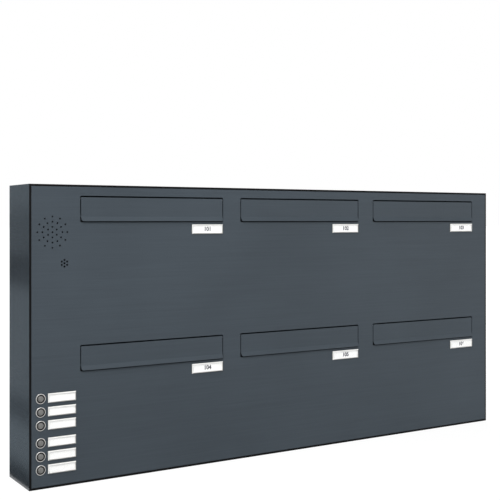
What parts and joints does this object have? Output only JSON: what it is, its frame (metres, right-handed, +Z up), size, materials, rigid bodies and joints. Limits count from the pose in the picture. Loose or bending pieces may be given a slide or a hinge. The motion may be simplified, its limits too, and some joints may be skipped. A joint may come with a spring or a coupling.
{
  "type": "cluster mailbox unit",
  "caption": "Wide shallow letterbox unit with top-hung letter flaps over nameplates, a bell and intercom column, and locked rear doors to each compartment.",
  "frame": {"origin": "centre of the underside of the casing", "axes": "+X to the right as seen from the front, the front faces -Y, +Z up"},
  "size_m": [1.24, 0.133, 0.6],
  "materials": {
    "casing_coat": "anthracite grey powder coat, satin",
    "panel_coat": "anthracite grey powder coat with faint level streaks, satin",
    "flap_coat": "anthracite grey powder coat, satin",
    "door_coat": "anthracite grey powder coat, satin",
    "zinc": "galvanised sheet with a dull spangle",
    "stainless": "brushed stainless steel",
    "button_face": "fine-grained grey steel",
    "spring_steel": "drawn wire",
    "rubber": "matt black rubber",
    "label_base": "warm grey plastic",
    "clear_cover": "clear acrylic",
    "card": "white card",
    "speaker": "black plastic and paper cone",
    "board": "green circuit board",
    "terminal": "green terminal block"
  },
  "bodies": {
    "unit": {"casing_left": "casing_coat", "casing_right": "casing_coat", "casing_top": "casing_coat", "casing_bottom": "casing_coat", "front_panel": "panel_coat", "partitions": "casing_coat", "shelves": "casing_coat", "slot_sills": "casing_coat", "rubber_buffers": "rubber", "flap_brackets": "casing_coat", "flap_rods": "stainless", "nameplate_holders": "label_base", "nameplate_covers": "clear_cover", "bell_label_holders": "label_base", "bell_label_covers": "clear_cover", "label_cards": "card", "button_housings": "stainless", "button_nuts": "zinc", "button_springs": "spring_steel", "speaker": "speaker", "microphone": "rubber", "intercom_board": "board", "terminal_block": "terminal", "service_cover": "casing_coat", "cover_screws": "stainless", "cable_grommet": "rubber", "casing_rivets": "zinc", "panel_fixings": "zinc", "door_pins": "stainless", "lock_strikes": "zinc"},
    "flap_1": {"flap_1": "flap_coat"},
    "flap_2": {"flap_2": "flap_coat"},
    "flap_3": {"flap_3": "flap_coat"},
    "flap_4": {"flap_4": "flap_coat"},
    "flap_5": {"flap_5": "flap_coat"},
    "flap_6": {"flap_6": "flap_coat"},
    "door_1": {"door_1": "door_coat", "lock_body_1": "stainless"},
    "door_2": {"door_2": "door_coat", "lock_body_2": "stainless"},
    "door_3": {"door_3": "door_coat", "lock_body_3": "stainless"},
    "door_4": {"door_4": "door_coat", "lock_body_4": "stainless"},
    "door_5": {"door_5": "door_coat", "lock_body_5": "stainless"},
    "door_6": {"door_6": "door_coat", "lock_body_6": "stainless"},
    "lock_cam_1": {"lock_cam_1": "stainless"},
    "lock_cam_2": {"lock_cam_2": "stainless"},
    "lock_cam_3": {"lock_cam_3": "stainless"},
    "lock_cam_4": {"lock_cam_4": "stainless"},
    "lock_cam_5": {"lock_cam_5": "stainless"},
    "lock_cam_6": {"lock_cam_6": "stainless"},
    "bell_button_1": {"bell_button_1": "button_face"},
    "bell_button_2": {"bell_button_2": "button_face"},
    "bell_button_3": {"bell_button_3": "button_face"},
    "bell_button_4": {"bell_button_4": "button_face"},
    "bell_button_5": {"bell_button_5": "button_face"},
    "bell_button_6": {"bell_button_6": "button_face"}
  },
  "joints": [
    {"name": "flap_1_hinge", "type": "hinge", "parent": "unit", "child": "flap_1", "pos_m": [-0.349, -0.0565, 0.572], "axis": [-1, 0, 0], "range_deg": [0, 80]},
    {"name": "flap_2_hinge", "type": "hinge", "parent": "unit", "child": "flap_2", "pos_m": [0.027, -0.0565, 0.572], "axis": [-1, 0, 0], "range_deg": [0, 80]},
    {"name": "flap_3_hinge", "type": "hinge", "parent": "unit", "child": "flap_3", "pos_m": [0.403, -0.0565, 0.572], "axis": [-1, 0, 0], "range_deg": [0, 80]},
    {"name": "flap_4_hinge", "type": "hinge", "parent": "unit", "child": "flap_4", "pos_m": [-0.349, -0.0565, 0.272], "axis": [-1, 0, 0], "range_deg": [0, 80]},
    {"name": "flap_5_hinge", "type": "hinge", "parent": "unit", "child": "flap_5", "pos_m": [0.027, -0.0565, 0.272], "axis": [-1, 0, 0], "range_deg": [0, 80]},
    {"name": "flap_6_hinge", "type": "hinge", "parent": "unit", "child": "flap_6", "pos_m": [0.403, -0.0565, 0.272], "axis": [-1, 0, 0], "range_deg": [0, 80]},
    {"name": "door_1_hinge", "type": "hinge", "parent": "unit", "child": "door_1", "pos_m": [-0.52775, 0.0575, 0.44962], "axis": [0, 0, 1], "range_deg": [0, 110]},
    {"name": "door_2_hinge", "type": "hinge", "parent": "unit", "child": "door_2", "pos_m": [-0.15175, 0.0575, 0.44962], "axis": [0, 0, 1], "range_deg": [0, 110]},
    {"name": "door_3_hinge", "type": "hinge", "parent": "unit", "child": "door_3", "pos_m": [0.22425, 0.0575, 0.44962], "axis": [0, 0, 1], "range_deg": [0, 110]},
    {"name": "door_4_hinge", "type": "hinge", "parent": "unit", "child": "door_4", "pos_m": [-0.52775, 0.0575, 0.15038], "axis": [0, 0, 1], "range_deg": [0, 110]},
    {"name": "door_5_hinge", "type": "hinge", "parent": "unit", "child": "door_5", "pos_m": [-0.15175, 0.0575, 0.15038], "axis": [0, 0, 1], "range_deg": [0, 110]},
    {"name": "door_6_hinge", "type": "hinge", "parent": "unit", "child": "door_6", "pos_m": [0.22425, 0.0575, 0.15038], "axis": [0, 0, 1], "range_deg": [0, 110]},
    {"name": "lock_1_turn", "type": "hinge", "parent": "door_1", "child": "lock_cam_1", "pos_m": [-0.18575, 0.0625, 0.44962], "axis": [0, -1, 0], "range_deg": [0, 90]},
    {"name": "lock_2_turn", "type": "hinge", "parent": "door_2", "child": "lock_cam_2", "pos_m": [0.19025, 0.0625, 0.44962], "axis": [0, -1, 0], "range_deg": [0, 90]},
    {"name": "lock_3_turn", "type": "hinge", "parent": "door_3", "child": "lock_cam_3", "pos_m": [0.56625, 0.0625, 0.44962], "axis": [0, -1, 0], "range_deg": [0, 90]},
    {"name": "lock_4_turn", "type": "hinge", "parent": "door_4", "child": "lock_cam_4", "pos_m": [-0.18575, 0.0625, 0.15038], "axis": [0, -1, 0], "range_deg": [0, 90]},
    {"name": "lock_5_turn", "type": "hinge", "parent": "door_5", "child": "lock_cam_5", "pos_m": [0.19025, 0.0625, 0.15038], "axis": [0, -1, 0], "range_deg": [0, 90]},
    {"name": "lock_6_turn", "type": "hinge", "parent": "door_6", "child": "lock_cam_6", "pos_m": [0.56625, 0.0625, 0.15038], "axis": [0, -1, 0], "range_deg": [0, 90]},
    {"name": "bell_button_1_press", "type": "slide", "parent": "unit", "child": "bell_button_1", "axis": [0, 1, 0], "range_m": [0, 0.0015], "stiffness_N_per_m": 1000, "springref_m": -0.0005, "deforming": ["button_springs"]},
    {"name": "bell_button_2_press", "type": "slide", "parent": "unit", "child": "bell_button_2", "axis": [0, 1, 0], "range_m": [0, 0.0015], "stiffness_N_per_m": 1000, "springref_m": -0.0005, "deforming": ["button_springs"]},
    {"name": "bell_button_3_press", "type": "slide", "parent": "unit", "child": "bell_button_3", "axis": [0, 1, 0], "range_m": [0, 0.0015], "stiffness_N_per_m": 1000, "springref_m": -0.0005, "deforming": ["button_springs"]},
    {"name": "bell_button_4_press", "type": "slide", "parent": "unit", "child": "bell_button_4", "axis": [0, 1, 0], "range_m": [0, 0.0015], "stiffness_N_per_m": 1000, "springref_m": -0.0005, "deforming": ["button_springs"]},
    {"name": "bell_button_5_press", "type": "slide", "parent": "unit", "child": "bell_button_5", "axis": [0, 1, 0], "range_m": [0, 0.0015], "stiffness_N_per_m": 1000, "springref_m": -0.0005, "deforming": ["button_springs"]},
    {"name": "bell_button_6_press", "type": "slide", "parent": "unit", "child": "bell_button_6", "axis": [0, 1, 0], "range_m": [0, 0.0015], "stiffness_N_per_m": 1000, "springref_m": -0.0005, "deforming": ["button_springs"]}
  ]
}
